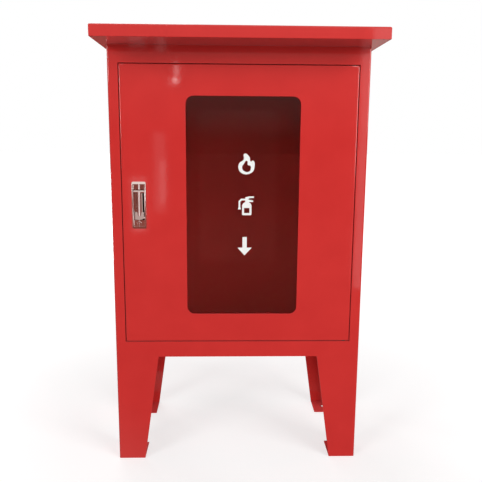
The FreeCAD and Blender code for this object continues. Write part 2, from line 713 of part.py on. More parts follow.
def button_spring():
    """Spring strip folded into a zigzag, between the button and the floor of the recess."""
    rise = (RECESS_FLOOR - BUTTON_BACK - SPRING_SHEET) / SPRING_LEAVES
    left = HANDLE_X - SPRING_WIDTH / 2
    leaves = []
    for count in range(SPRING_LEAVES):
        start = RECESS_FLOOR - SPRING_SHEET - count * rise
        reach = SPRING_LENGTH / 2 * (-1) ** count
        corners = [
            (left, start, BUTTON_Z - reach),
            (left, start - rise, BUTTON_Z + reach),
            (left, start - rise + SPRING_SHEET, BUTTON_Z + reach),
            (left, start + SPRING_SHEET, BUTTON_Z - reach),
        ]
        leaves.append(prism(corners, (SPRING_WIDTH, 0, 0)))
    return join(leaves)


def handle_screw_heights():
    reach = HANDLE_HEIGHT / 4
    return [HANDLE_Z - reach, HANDLE_Z + reach]


def handle_bracket():
    """Strap across the back of the housing, with feet that pull it against the door's skin."""
    half = HANDLE_HEIGHT / 2 + BRACKET_RISE
    left = HANDLE_X - BRACKET_WIDTH / 2
    right = HANDLE_X + BRACKET_WIDTH / 2
    strap = box(left, right, SKIN_BACK, HANDLE_BACK + BRACKET_SHEET, HANDLE_Z - half, HANDLE_Z + half)
    strap = strap.cut(
        box(
            left - 1,
            right + 1,
            SKIN_BACK - 1,
            HANDLE_BACK,
            HANDLE_Z - half + BRACKET_SHEET,
            HANDLE_Z + half - BRACKET_SHEET,
        )
    )
    foot_back = SKIN_BACK + BRACKET_SHEET
    feet = [
        box(left, right, SKIN_BACK, foot_back, HANDLE_Z - half - BRACKET_FOOT, HANDLE_Z - half),
        box(left, right, SKIN_BACK, foot_back, HANDLE_Z + half, HANDLE_Z + half + BRACKET_FOOT),
    ]
    bracket = join([strap] + feet)
    for z in handle_screw_heights():
        bracket = bracket.cut(
            rod(
                SMALL_SCREW + 2 * BOLT_CLEARANCE,
                (HANDLE_X, HANDLE_BACK - 1, z),
                (HANDLE_X, HANDLE_BACK + BRACKET_SHEET + 1, z),
            )
        )
    return bracket


def small_screws(places, seat, tip, out):
    """Pan-head screws along Y, with their heads on the side that out points to."""
    screws = []
    for x, z in places:
        shank = rod(SMALL_SCREW, (x, seat, z), (x, tip, z))
        screws.append(join([shank, rod(SMALL_HEAD, (x, seat, z), (x, seat + out * SMALL_HEAD_HEIGHT, z))]))
    return Part.makeCompound(screws)


def handle_screws():
    places = [(HANDLE_X, z) for z in handle_screw_heights()]
    return small_screws(places, HANDLE_BACK + BRACKET_SHEET, RECESS_FLOOR, 1)


def catch_screw_heights():
    reach = (CATCH_LENGTH + MAGNET_LENGTH) / 4
    return [CATCH_Z - reach, CATCH_Z + reach]


def magnet_bar(growth, front, back):
    return box(
        CATCH_X - MAGNET_WIDTH / 2 - growth,
        CATCH_X + MAGNET_WIDTH / 2 + growth,
        front,
        back,
        CATCH_Z - MAGNET_LENGTH / 2 - growth,
        CATCH_Z + MAGNET_LENGTH / 2 + growth,
    )


def catch_case():
    """Plastic case of the magnetic catch, screwed behind the door stop."""
    case = box(
        CATCH_X - CATCH_WIDTH / 2,
        CATCH_X + CATCH_WIDTH / 2,
        STOP_BACK,
        STOP_BACK + CATCH_DEPTH,
        CATCH_Z - CATCH_LENGTH / 2,
        CATCH_Z + CATCH_LENGTH / 2,
    )
    case = case.cut(magnet_bar(0, STOP_BACK - 1, STOP_BACK + CATCH_DEPTH / 2))
    for z in catch_screw_heights():
        case = case.cut(
            rod(
                SMALL_SCREW + 2 * THREAD_CLEARANCE,
                (CATCH_X, STOP_BACK - 1, z),
                (CATCH_X, STOP_BACK + CATCH_DEPTH, z),
            )
        )
    return case


def catch_magnet():
    """Magnet that reaches through the stop and holds the door by its own back flange."""
    return magnet_bar(0, DOOR_BACK + MAGNET_GAP, STOP_BACK + CATCH_DEPTH / 2)


def catch_screws():
    places = [(CATCH_X, z) for z in catch_screw_heights()]
    return small_screws(places, STOP_FRONT, STOP_BACK + CATCH_DEPTH / 2, -1)


def door_bumpers():
    """Tapered rubber buttons on the door stop, one near each free corner of the door."""
    tip = DOOR_BACK + SEAT_GAP
    bumpers = []
    for z in (DOOR_BOTTOM + BUMPER_CORNER_DISTANCE, DOOR_TOP - BUMPER_CORNER_DISTANCE):
        place = FreeCAD.Vector(CATCH_X, tip, z)
        bumpers.append(Part.makeCone(BUMPER_TIP / 2, BUMPER_DIAMETER / 2, STOP_FRONT - tip, place, ALONG_Y))
    return Part.makeCompound(bumpers)


def pieces():
    front_left = leg()
    front_right = mirrored(front_left, ALONG_X)
    return {
        "front_frame": front_frame(),
        "side_wrap": side_wrap(),
        "floor_panel": floor_panel(),
        "top_panel": top_panel(),
        "roof_cap": roof_cap(),
        "roof_base": roof_base(),
        "leg_front_left": front_left,
        "leg_front_right": front_right,
        "leg_rear_left": mirrored(front_left, ALONG_Y),
        "leg_rear_right": mirrored(front_right, ALONG_Y),
        "leg_bolts": leg_bolts(),
        "leg_nuts": leg_nuts(),
        "hinge_plate_top": hinge_plate(True),
        "hinge_plate_bottom": hinge_plate(False),
        "hinge_pin_top": hinge_pin(True),
        "hinge_pin_bottom": hinge_pin(False),
        "catch_case": catch_case(),
        "catch_magnet": catch_magnet(),
        "catch_screws": catch_screws(),
        "door_bumpers": door_bumpers(),
        "door_panel": door_panel(),
        "hinge_bush_top": hinge_bush(True),
        "hinge_bush_bottom": hinge_bush(False),
        "window_gasket": window_gasket(),
        "window_pane": window_pane(),
        "pane_frame": pane_frame(),
        "pane_studs": pane_studs(),
        "pane_nuts": pane_nuts(),
        "handle_housing": handle_housing(),
        "handle_bracket": handle_bracket(),
        "handle_screws": handle_screws(),
        "lever_pin": lever_pin(),
        "handle_lever": handle_lever(),
        "release_button": release_button(),
        "button_spring": button_spring(),
    }


os.makedirs("parts", exist_ok=True)
for name, shape in pieces().items():
    shape.exportStep(os.path.join("parts", name + ".step"))
    print(f"{name}: solids {len(shape.Solids)}, volume {shape.Volume:.0f}, valid {shape.isValid()}")
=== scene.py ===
import math
import bmesh
import bpy
from mathutils import Matrix, Vector


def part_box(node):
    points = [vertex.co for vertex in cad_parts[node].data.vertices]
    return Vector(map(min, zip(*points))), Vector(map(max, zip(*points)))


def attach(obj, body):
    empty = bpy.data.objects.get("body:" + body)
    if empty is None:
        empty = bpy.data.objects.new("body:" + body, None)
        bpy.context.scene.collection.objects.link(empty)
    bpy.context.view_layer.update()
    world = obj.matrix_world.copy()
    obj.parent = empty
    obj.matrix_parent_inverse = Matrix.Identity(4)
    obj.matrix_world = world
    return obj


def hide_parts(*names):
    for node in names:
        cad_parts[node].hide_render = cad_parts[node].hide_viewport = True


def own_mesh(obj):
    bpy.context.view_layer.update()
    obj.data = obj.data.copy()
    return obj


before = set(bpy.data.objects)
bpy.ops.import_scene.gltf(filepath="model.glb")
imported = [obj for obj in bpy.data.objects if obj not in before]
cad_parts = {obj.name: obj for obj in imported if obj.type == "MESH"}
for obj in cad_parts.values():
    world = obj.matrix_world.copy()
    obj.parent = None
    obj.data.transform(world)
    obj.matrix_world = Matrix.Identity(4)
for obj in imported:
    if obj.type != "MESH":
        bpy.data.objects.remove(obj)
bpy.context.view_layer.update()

# The camera
# It stands 0.9 m in front of the door, at the height of the window, and looks ten degrees down.
# Its place, angles and focal length come from a fit of the cabinet's edges to the photograph.
MM = 0.001
CAMERA_PLACE = (-20.89, -1002.12, 534.88)
FOCAL_LENGTH = 42.711
yaw = math.radians(1.569)
pitch = math.radians(10.106)
roll = math.radians(0.376)
level = Vector((math.cos(yaw), -math.sin(yaw), 0))
ahead = Vector((math.sin(yaw), math.cos(yaw), 0))
forward = ahead * math.cos(pitch) - Vector((0, 0, math.sin(pitch)))
upright = level.cross(forward)
across = level * math.cos(roll) + upright * math.sin(roll)
upward = upright * math.cos(roll) - level * math.sin(roll)
camera_data = bpy.data.cameras.new("camera")
camera_data.lens = FOCAL_LENGTH
camera_data.sensor_width = 36
camera = bpy.data.objects.new("camera", camera_data)
aim = Matrix((across, upward, -forward)).transposed().to_4x4()
camera.matrix_world = Matrix.Translation(Vector(CAMERA_PLACE) * MM) @ aim
bpy.context.scene.collection.objects.link(camera)
bpy.context.scene.camera = camera


# The studio
# White surroundings and a pale floor that keeps the cabinet's shadow. Three softboxes light the
# part, and small lamps behind the camera mirror in the coat and in the handle.
def linear(code):
    """A hex colour in sRGB, as linear red, green, blue and full alpha."""
    channels = [int(code[start : start + 2], 16) / 255 for start in (0, 2, 4)]
    return [c / 12.92 if c <= 0.04045 else ((c + 0.055) / 1.055) ** 2.4 for c in channels] + [1]


def add_node(tree, kind, settings=None):
    """One node. A setting is a property or an input; a socket given to an input is linked to it."""
    node = tree.nodes.new(kind)
    for name, value in (settings or {}).items():
        if isinstance(name, str) and hasattr(node, name):
            setattr(node, name, value)
        elif isinstance(value, bpy.types.NodeSocket):
            tree.links.new(value, node.inputs[name])
        else:
            node.inputs[name].default_value = value
    return node


def new_material(name):
    """A material with an empty node tree, and that tree."""
    material = bpy.data.materials.new(name)
    material.use_nodes = True
    material.node_tree.nodes.clear()
    return material, material.node_tree


def arithmetic(tree, operation, first, second):
    """The result of one sum."""
    settings = {"operation": operation, 0: first, 1: second}
    return add_node(tree, "ShaderNodeMath", settings).outputs[0]


def mixed(tree, factor, start, end):
    """A colour between two colours."""
    settings = {"data_type": "RGBA", "Factor": factor, 6: start, 7: end}
    return add_node(tree, "ShaderNodeMix", settings).outputs[2]


def ranged(tree, value, low, high):
    """A value from 0 to 1, stretched from low to high."""
    settings = {"Value": value, "To Min": low, "To Max": high}
    return add_node(tree, "ShaderNodeMapRange", settings).outputs[0]


def towards(tree, way, aim, edge, full):
    """How far a way points along an aim: 0 up to the cosine of the edge, 1 from the full one."""
    settings = {"operation": "DOT_PRODUCT", 0: way, 1: aim}
    along = add_node(tree, "ShaderNodeVectorMath", settings)
    settings = {"Value": along.outputs["Value"], "From Min": edge, "From Max": full}
    return add_node(tree, "ShaderNodeMapRange", settings).outputs[0]


def backdrop_level(tree, place):
    """Colour of the surroundings: white to the camera, also through glass, and a room in a mirror.

    The room is dim and warm, with a bright ceiling and two bright patches behind and at the left.
    """
    ray = add_node(tree, "ShaderNodeLightPath").outputs
    through = ray["Is Transmission Ray"]
    bounces = arithmetic(tree, "ADD", ray["Diffuse Depth"], ray["Glossy Depth"])
    no_bounce = arithmetic(tree, "LESS_THAN", bounces, 0.5)
    mirrored_before = arithmetic(tree, "GREATER_THAN", ray["Glossy Depth"], 0.5)
    straight = arithmetic(tree, "MULTIPLY", through, no_bounce)
    after_mirror = arithmetic(tree, "MULTIPLY", through, mirrored_before)
    seen = arithmetic(tree, "MAXIMUM", ray["Is Camera Ray"], straight)
    mirrored = arithmetic(tree, "MAXIMUM", ray["Is Glossy Ray"], after_mirror)
    way = add_node(tree, "ShaderNodeVectorMath", {"operation": "NORMALIZE", 0: place}).outputs[0]
    behind = arithmetic(tree, "MULTIPLY", towards(tree, way, (0.64, 0.77, 0.0), 0.65, 1.0), 0.5)
    above = towards(tree, way, (0.0, 0.0, 1.0), 0.0, 0.4)
    left = arithmetic(tree, "MULTIPLY", towards(tree, way, (-0.97, -0.24, 0.0), 0.75, 1.0), 0.8)
    patches = arithmetic(tree, "MAXIMUM", behind, left)
    bright = arithmetic(tree, "MAXIMUM", patches, above)
    room = mixed(tree, bright, linear("7E4038"), linear("FFEAE4"))
    reflected = mixed(tree, mirrored, linear("000000"), room)
    return mixed(tree, seen, reflected, linear("FFFFFF"))


AMBIENT = 0.3
scene = bpy.context.scene
scene.view_settings.view_transform = "Standard"
world = bpy.data.worlds.new("studio")
world.use_nodes = True
tree = world.node_tree
tree.nodes.clear()
# Rays that light the part get a plain grey level, and rays that see the room get the backdrop.
direction = add_node(tree, "ShaderNodeTexCoord").outputs["Generated"]
ray = add_node(tree, "ShaderNodeLightPath").outputs
surroundings = backdrop_level(tree, direction)
ambient_grey = (AMBIENT, AMBIENT, AMBIENT, 1)
colour_by_ray = mixed(tree, ray["Is Diffuse Ray"], surroundings, ambient_grey)
backdrop = add_node(tree, "ShaderNodeBackground", {"Color": colour_by_ray})
add_node(tree, "ShaderNodeOutputWorld", {"Surface": backdrop.outputs[0]})
scene.world = world

# Each lamp's place, the point that it faces, its width and height in millimetres, and its watts.
for name, place, target, width, height, power in (
    ("right softbox", (1900, -1900, 1300), (0, 0, 400), 1500, 1500, 53),
    ("left softbox", (-1800, -2000, 1300), (0, 0, 400), 900, 900, 26.5),
    ("rear softbox", (-900, 2300, 1600), (0, 0, 400), 1400, 1400, 22),
    ("lamp behind the camera", (-302, -2500, 850), (-95, -105, 627), 30, 24, 0.022),
    ("narrow light above it", (-297, -2500, 905), (-95, -105, 627), 14, 75, 0.017),
    ("low strip light", (-395, -2500, 345), (-140, -105, 450), 68, 450, 0.055),
    ("short strip light", (-380, -2500, 290), (-140, -105, 450), 32, 240, 0.026),
    ("narrow card at the right", (505, -1200, 450), (0, -105, 450), 130, 900, 0.42),
    ("small low lamp in front", (-519, -2500, 151), (-156, -105, 431), 80, 330, 0.1),
    ("low lamp at the left", (-1500, 900, 150), (-200, 0, 500), 500, 500, 15),
):
    lamp_data = bpy.data.lights.new(name, "AREA")
    lamp_data.shape = "RECTANGLE"
    lamp_data.size = width * MM
    lamp_data.size_y = height * MM
    lamp_data.energy = power
    lamp = bpy.data.objects.new(name, lamp_data)
    lamp.location = Vector(place) * MM
    lamp.rotation_euler = (Vector(target) - Vector(place)).to_track_quat("-Z", "Y").to_euler()
    scene.collection.objects.link(lamp)

FLOOR_REACH = 20.0
floor_mesh = bpy.data.meshes.new("floor")
floor_mesh.from_pydata(
    [(x, y, 0) for x, y in ((-1, -1), (1, -1), (1, 1), (-1, 1))], [], [(0, 1, 2, 3)]
)
floor_mesh.transform(Matrix.Scale(FLOOR_REACH, 4))
floor = bpy.data.objects.new("floor", floor_mesh)
scene.collection.objects.link(floor)

# The floor is a matt pale grey near the cabinet and turns into the white backdrop further out.
pale_floor, tree = new_material("pale studio floor")
place = add_node(tree, "ShaderNodeTexCoord").outputs["Object"]
distance = add_node(tree, "ShaderNodeVectorMath", {"operation": "LENGTH", 0: place})
outward = add_node(
    tree,
    "ShaderNodeMapRange",
    {
        "Value": distance.outputs["Value"],
        "From Min": 0.3,
        "From Max": 1.5,
        "To Min": 0.6,
        "To Max": 1.0,
    },
).outputs[0]
ray = add_node(tree, "ShaderNodeLightPath").outputs
# Seen in a mirror the floor is a dim warm brown and glows in the room's colours: a painted
# reflection of a room.
floor_colour = mixed(tree, ray["Is Glossy Ray"], linear("B4B4B4"), linear("6C3A33"))
matt = add_node(tree, "ShaderNodeBsdfDiffuse", {"Color": floor_colour})
floor_glow = {"Color": backdrop_level(tree, place), "Strength": outward}
glow = add_node(tree, "ShaderNodeEmission", floor_glow)
both = add_node(tree, "ShaderNodeAddShader", {0: matt.outputs[0], 1: glow.outputs[0]})
add_node(tree, "ShaderNodeOutputMaterial", {"Surface": both.outputs[0]})
floor_mesh.materials.append(pale_floor)


# The body sheets and the roof
# Folded sheet steel of 1.2 mm, spot-welded and powder coated in gloss red. The front frame, one
# wrap for the sides and back, a floor and a top tray, and a roof closed by a flat pan underneath.
MERGE_DISTANCE = 0.002


def softened(node, name, radius, body, finish, sharper_than=40):
    """A copy of a CAD node, its triangles merged into faces and edges above that angle rounded."""
    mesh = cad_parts[node].data.copy()
    mesh.name = name
    shape = bmesh.new()
    shape.from_mesh(mesh)
    bmesh.ops.remove_doubles(shape, verts=shape.verts, dist=MERGE_DISTANCE * MM)
    bmesh.ops.dissolve_limit(
        shape, angle_limit=math.radians(1), verts=shape.verts, edges=shape.edges, delimit={"NORMAL"}
    )
    for face in shape.faces:
        face.smooth = True
    shape.to_mesh(mesh)
    shape.free()
    mesh.materials.clear()
    mesh.materials.append(finish)
    piece = bpy.data.objects.new(name, mesh)
    scene.collection.objects.link(piece)
    bevel = piece.modifiers.new("rounded edges", "BEVEL")
    bevel.width = radius * MM
    bevel.segments = 2
    bevel.limit_method = "ANGLE"
    bevel.angle_limit = math.radians(sharper_than)
    bevel.use_clamp_overlap = True
    flat = piece.modifiers.new("flat faces", "WEIGHTED_NORMAL")
    flat.keep_sharp = True
    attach(piece, body)
    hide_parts(node)
    return piece


def noise(tree, scale, detail, distortion=0.0):
    """A cloudy value over the piece's own coordinates."""
    place = add_node(tree, "ShaderNodeTexCoord").outputs["Object"]
    settings = {"Vector": place, "Scale": scale, "Detail": detail, "Distortion": distortion}
    return add_node(tree, "ShaderNodeTexNoise", settings).outputs[0]


def surfaced(tree, settings):
    """Ends a material's tree with one surface of these settings."""
    surface = add_node(tree, "ShaderNodeBsdfPrincipled", settings)
    add_node(tree, "ShaderNodeOutputMaterial", {"Surface": surface.outputs[0]})


# Polyester powder coat, baked: a strong even red with a soft gloss. The sheet under it is never
# quite flat, which bends the reflections, and the coat has a faint orange peel. The real peel has
# cells of about 1 mm, too fine to show here, so it is drawn at 4 mm. A faint painted sheen greys
# what is seen at a low angle.
powder_coat, tree = new_material("gloss red powder coat")
sheet_wave = noise(tree, 7.0, 1.0)
peel = noise(tree, 250.0, 2.0)
cloud = noise(tree, 22.0, 3.0)
bent = add_node(
    tree, "ShaderNodeBump", {"Height": sheet_wave, "Distance": 1.2 * MM, "Strength": 0.35}
).outputs[0]
skin = add_node(
    tree,
    "ShaderNodeBump",
    {"Height": peel, "Distance": 0.05 * MM, "Strength": 0.35, "Normal": bent},
).outputs[0]
surfaced(
    tree,
    {
        "Base Color": mixed(tree, cloud, linear("C52B29"), linear("D1322F")),
        "Roughness": ranged(tree, cloud, 0.035, 0.07),
        "IOR": 1.5,
        # painted sheen: a faint grey light where the coat is seen at a low angle
        "Sheen Weight": 0.06,
        "Sheen Roughness": 0.6,
        "Normal": skin,
    },
)

for node, name in (
    ("front_frame", "door_surround"),
    ("side_wrap", "sides_and_back"),
    ("floor_panel", "floor_tray"),
    ("top_panel", "top_tray"),
    ("roof_cap", "roof_with_folded_lip"),
    ("roof_base", "roof_underside"),
):
    softened(node, name, 0.4, "cabinet", powder_coat)


# The legs
# Four tapered angles folded from 1.6 mm sheet, each with a cap plate under the body and a foot
# plate on the floor, in the same red coat.
for end in ("front", "rear"):
    for side in ("left", "right"):
        name = f"tapered_{end}_{side}_leg"
        softened(f"leg_{end}_{side}", name, 0.5, "cabinet", powder_coat)


# The door
# A pan folded from 1.2 mm sheet with a large window cut out of it, and the stepped frame
# that clamps the pane from behind. The coat runs round the cut edges, which catches the light.
softened("door_panel", "door_pan", 0.5, "door", powder_coat)
softened("pane_frame", "pane_retaining_frame", 0.3, "door", powder_coat)


# The leg bolts and nuts
# Eight zinc-plated M6 bolts pass up through the cap plates of the legs and the floor of the body,
# with their nuts inside. All like pieces here are set on the places of the CAD solids.
# A block's chamfer as a share of its height and of its radius, and the thread's core, its middle
# line and a nut's bore as shares of the diameter, and its ridge as a share of the pitch.
CHAMFER_HEIGHT = 0.18
CHAMFER_RADIUS = 0.86
CORE_RADIUS = 0.465
THREAD_RADIUS = 0.46
BORE_RADIUS = 0.48
RIDGE_RADIUS = 0.28
ROUND_SIDES = 20


def solid_places(node):
    """The middle of each separate solid of a CAD node."""
    shape = bmesh.new()
    shape.from_mesh(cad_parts[node].data)
    bmesh.ops.remove_doubles(shape, verts=shape.verts, dist=MERGE_DISTANCE * MM)
    waiting = set(shape.verts)
    places = []
    while waiting:
        found = [waiting.pop()]
        group = []
        while found:
            corner = found.pop()
            group.append(corner.co.copy())
            for edge in corner.link_edges:
                other = edge.other_vert(corner)
                if other in waiting:
                    waiting.remove(other)
                    found.append(other)
        low = Vector([min(point[i] for point in group) for i in range(3)])
        high = Vector([max(point[i] for point in group) for i in range(3)])
        places.append((low + high) / 2)
    shape.free()
    return sorted(places, key=tuple)


def new_tree(name, inputs):
    """A Geometry Nodes tree with its group input and output, and the named inputs given."""
    tree = bpy.data.node_groups.new(name, "GeometryNodeTree")
    tree.interface.new_socket("Geometry", in_out="INPUT", socket_type="NodeSocketGeometry")
    for label, kind, start in inputs:
        socket = tree.interface.new_socket(label, in_out="INPUT", socket_type=kind)
        if start is not None:
            socket.default_value = start
    tree.interface.new_socket("Geometry", in_out="OUTPUT", socket_type="NodeSocketGeometry")
    return tree, tree.nodes.new("NodeGroupInput").outputs


def moved(tree, mesh, height, turn=0.0):
    """A mesh turned over its X axis and then raised."""
    offset = add_node(tree, "ShaderNodeCombineXYZ", {"Z": height})
    settings = {"Geometry": mesh, "Translation": offset.outputs[0], "Rotation": (turn, 0, 0)}
    return add_node(tree, "GeometryNodeTransform", settings).outputs[0]


def joined(tree, *meshes):
    """Several meshes as one."""
    together = add_node(tree, "GeometryNodeJoinGeometry")
    for mesh in meshes:
        tree.links.new(mesh, together.inputs[0])
    return together.outputs[0]


def hex_block(tree, radius, height):
    """A closed six-sided block that hangs below its seat, chamfered at the far end."""
    chamfer = arithmetic(tree, "MULTIPLY", height, CHAMFER_HEIGHT)
    straight = arithmetic(tree, "SUBTRACT", height, chamfer)
    narrow = arithmetic(tree, "MULTIPLY", radius, CHAMFER_RADIUS)
    walls = add_node(
        tree,
        "GeometryNodeMeshCylinder",
        {"fill_type": "NONE", "Vertices": 6, "Radius": radius, "Depth": straight},
    )
    slope = add_node(
        tree,
        "GeometryNodeMeshCone",
        {
            "fill_type": "NONE",
            "Vertices": 6,
            "Radius Bottom": radius,
            "Radius Top": narrow,
            "Depth": chamfer,
        },
    )
    seat = add_node(
        tree, "GeometryNodeMeshCircle", {"fill_type": "NGON", "Vertices": 6, "Radius": radius}
    )
    end = add_node(
        tree, "GeometryNodeMeshCircle", {"fill_type": "NGON", "Vertices": 6, "Radius": narrow}
    )
    shell = joined(
        tree,
        moved(tree, walls.outputs[0], arithmetic(tree, "MULTIPLY", straight, -0.5)),
        moved(tree, slope.outputs[0], arithmetic(tree, "MULTIPLY", straight, -1.0), math.pi),
        seat.outputs[0],
        moved(tree, end.outputs[0], arithmetic(tree, "MULTIPLY", height, -1.0), math.pi),
    )
    settings = {"Geometry": shell, "Distance": 0.001 * MM}
    return add_node(tree, "GeometryNodeMergeByDistance", settings).outputs[0]


def set_on_points(tree, given, piece):
    """One piece on each point, along the given axis, as a plain mesh in the given finish."""
    turned = add_node(
        tree, "FunctionNodeAlignRotationToVector", {"axis": "Z", "Vector": given["Axis"]}
    )
    placed = add_node(
        tree,
        "GeometryNodeInstanceOnPoints",
        {"Points": given["Geometry"], "Instance": piece, "Rotation": turned.outputs[0]},
    )
    real = add_node(tree, "GeometryNodeRealizeInstances", {"Geometry": placed.outputs[0]})
    finished = add_node(
        tree, "GeometryNodeSetMaterial", {"Geometry": real.outputs[0], "Material": given["Finish"]}
    )
    add_node(tree, "NodeGroupOutput", {"Geometry": finished.outputs[0]})


def bolt_tree():
    """A bolt or stud on each point: a chamfered head, a shank and a helical thread."""
    tree, given = new_tree(
        "bolts",
        (
            ("Head radius", "NodeSocketFloat", 5.77 * MM),
            ("Head height", "NodeSocketFloat", 4 * MM),
            ("Diameter", "NodeSocketFloat", 6 * MM),
            ("Shank start", "NodeSocketFloat", 0.0),
            ("Shank end", "NodeSocketFloat", 8.8 * MM),
            ("Thread pitch", "NodeSocketFloat", 1 * MM),
            ("Axis", "NodeSocketVector", (0, 0, 1)),
            ("Finish", "NodeSocketMaterial", None),
        ),
    )
    length = arithmetic(tree, "SUBTRACT", given["Shank end"], given["Shank start"])
    both_ends = arithmetic(tree, "ADD", given["Shank start"], given["Shank end"])
    root_radius = arithmetic(tree, "MULTIPLY", given["Diameter"], CORE_RADIUS)
    core = add_node(
        tree,
        "GeometryNodeMeshCylinder",
        {"Vertices": ROUND_SIDES, "Radius": root_radius, "Depth": length},
    )
    spiral_radius = arithmetic(tree, "MULTIPLY", given["Diameter"], THREAD_RADIUS)
    spiral = add_node(
        tree,
        "GeometryNodeCurveSpiral",
        {
            "Resolution": 16,
            "Rotations": arithmetic(tree, "DIVIDE", length, given["Thread pitch"]),
            "Start Radius": spiral_radius,
            "End Radius": spiral_radius,
            "Height": length,
        },
    )
    ridge_radius = arithmetic(tree, "MULTIPLY", given["Thread pitch"], RIDGE_RADIUS)
    ridge = add_node(
        tree, "GeometryNodeCurvePrimitiveCircle", {"Resolution": 4, "Radius": ridge_radius}
    )
    thread = add_node(
        tree,
        "GeometryNodeCurveToMesh",
        {"Curve": spiral.outputs[0], "Profile Curve": ridge.outputs[0], "Fill Caps": True},
    )
    bolt = joined(
        tree,
        hex_block(tree, given["Head radius"], given["Head height"]),
        moved(tree, core.outputs[0], arithmetic(tree, "MULTIPLY", both_ends, 0.5)),
        moved(tree, thread.outputs[0], given["Shank start"]),
    )
    set_on_points(tree, given, bolt)
    return tree


def nut_tree():
    """A nut on each point: a chamfered block and its bore, which grips the crests of the thread."""
    tree, given = new_tree(
        "nuts",
        (
            ("Radius", "NodeSocketFloat", 5.77 * MM),
            ("Height", "NodeSocketFloat", 5 * MM),
            ("Diameter", "NodeSocketFloat", 6 * MM),
            ("Axis", "NodeSocketVector", (0, 0, 1)),
            ("Finish", "NodeSocketMaterial", None),
        ),
    )
    bore = add_node(
        tree,
        "GeometryNodeMeshCylinder",
        {
            "Vertices": ROUND_SIDES,
            "Radius": arithmetic(tree, "MULTIPLY", given["Diameter"], BORE_RADIUS),
            "Depth": arithmetic(tree, "MULTIPLY", given["Height"], 2.0),
        },
    )
    middle = arithmetic(tree, "MULTIPLY", given["Height"], -0.5)
    nut = add_node(
        tree,
        "GeometryNodeMeshBoolean",
        {
            "operation": "DIFFERENCE",
            "solver": "EXACT",
            "Mesh 1": hex_block(tree, given["Radius"], given["Height"]),
            "Mesh 2": moved(tree, bore.outputs[0], middle),
        },
    )
    set_on_points(tree, given, nut.outputs[0])
    return tree


def from_tree(name, points, tree, values):
    """A plain mesh object of what the tree makes on the points with these input values."""
    start = bpy.data.meshes.new(name)
    start.from_pydata(points, [], [])
    piece = bpy.data.objects.new(name, start)
    scene.collection.objects.link(piece)
    grower = piece.modifiers.new("grown", "NODES")
    grower.node_group = tree
    items = tree.interface.items_tree
    sockets = {item.name: item.identifier for item in items if item.in_out == "INPUT"}
    for label, value in values.items():
        grower[sockets[label]] = value
    depsgraph = bpy.context.evaluated_depsgraph_get()
    grown = bpy.data.meshes.new_from_object(piece.evaluated_get(depsgraph))
    piece.modifiers.remove(grower)
    piece.data = grown
    grown.name = name
    return piece


# Bright zinc plating over turned or pressed steel: a cool grey metal with a soft sheen, a little
# bluer and yellower from place to place.
zinc, tree = new_material("bright zinc-plated steel")
bloom = noise(tree, 180.0, 3.0)
surfaced(
    tree,
    {
        "Base Color": mixed(tree, bloom, linear("C3CBD3"), linear("CFCBBE")),
        "Roughness": ranged(tree, bloom, 0.28, 0.42),
        "Metallic": 1.0,
    },
)

bolts = bolt_tree()
nuts = nut_tree()
# The heights of the seats, and half the width of an M6 head over its corners, in millimetres.
LEG_BOLT_DIAMETER = 6.0
LEG_BOLT_SEAT = 179.4
LEG_NUT_SEAT = 182.2
M6_HEAD_RADIUS = 10 / math.sqrt(3)
for node, name, tree, seat, axis, values in (
    (
        "leg_bolts",
        "leg_bolts_m6",
        bolts,
        LEG_BOLT_SEAT,
        (0.0, 0.0, 1.0),
        {
            "Head radius": M6_HEAD_RADIUS,
            "Head height": 4.0,
            "Shank start": -0.5,
            "Shank end": 8.8,
            "Thread pitch": 1.0,
        },
    ),
    (
        "leg_nuts",
        "leg_nuts_m6",
        nuts,
        LEG_NUT_SEAT,
        (0.0, 0.0, -1.0),
        {"Radius": M6_HEAD_RADIUS, "Height": 5.0},
    ),
):
    points = [(place.x, place.y, seat * MM) for place in solid_places(node)]
    sizes = {label: value * MM for label, value in values.items()}
    sizes.update({"Diameter": LEG_BOLT_DIAMETER * MM, "Axis": axis, "Finish": zinc})
    piece = from_tree(name, points, tree, sizes)
    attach(piece, "cabinet")
    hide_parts(node)


# The window
# A clear acrylic pane of 3 mm lies on a thin rubber gasket behind the cut-out, and its frame is
# held by nuts on studs that are welded to the skin.

# Cast acrylic: colourless and smooth, with faint wipe marks in the gloss.
acrylic, tree = new_material("clear cast acrylic")
wiped = noise(tree, 14.0, 4.0, 1.5)
smear = add_node(
    tree, "ShaderNodeMapRange", {"Value": wiped, "From Min": 0.45, "To Min": 0.0, "To Max": 0.03}
)
surfaced(
    tree,
    {
        "Base Color": linear("FAFCFC"),
        "Roughness": smear.outputs[0],
        "IOR": 1.49,
        "Transmission Weight": 1.0,
    },
)
softened("window_pane", "clear_pane", 0.3, "door", acrylic)

# Moulded EPDM rubber: near black and dull, with a fine grain.
rubber, tree = new_material("black EPDM rubber")
grain = noise(tree, 1200.0, 2.0)
rough_skin = add_node(tree, "ShaderNodeBump", {"Height": grain, "Distance": 0.05 * MM})
surfaced(
    tree,
    {
        "Base Color": linear("1C1B1B"),
        "Roughness": ranged(tree, grain, 0.6, 0.8),
        "Normal": rough_skin.outputs[0],
    },
)
softened("window_gasket", "pane_gasket", 0.2, "door", rubber)

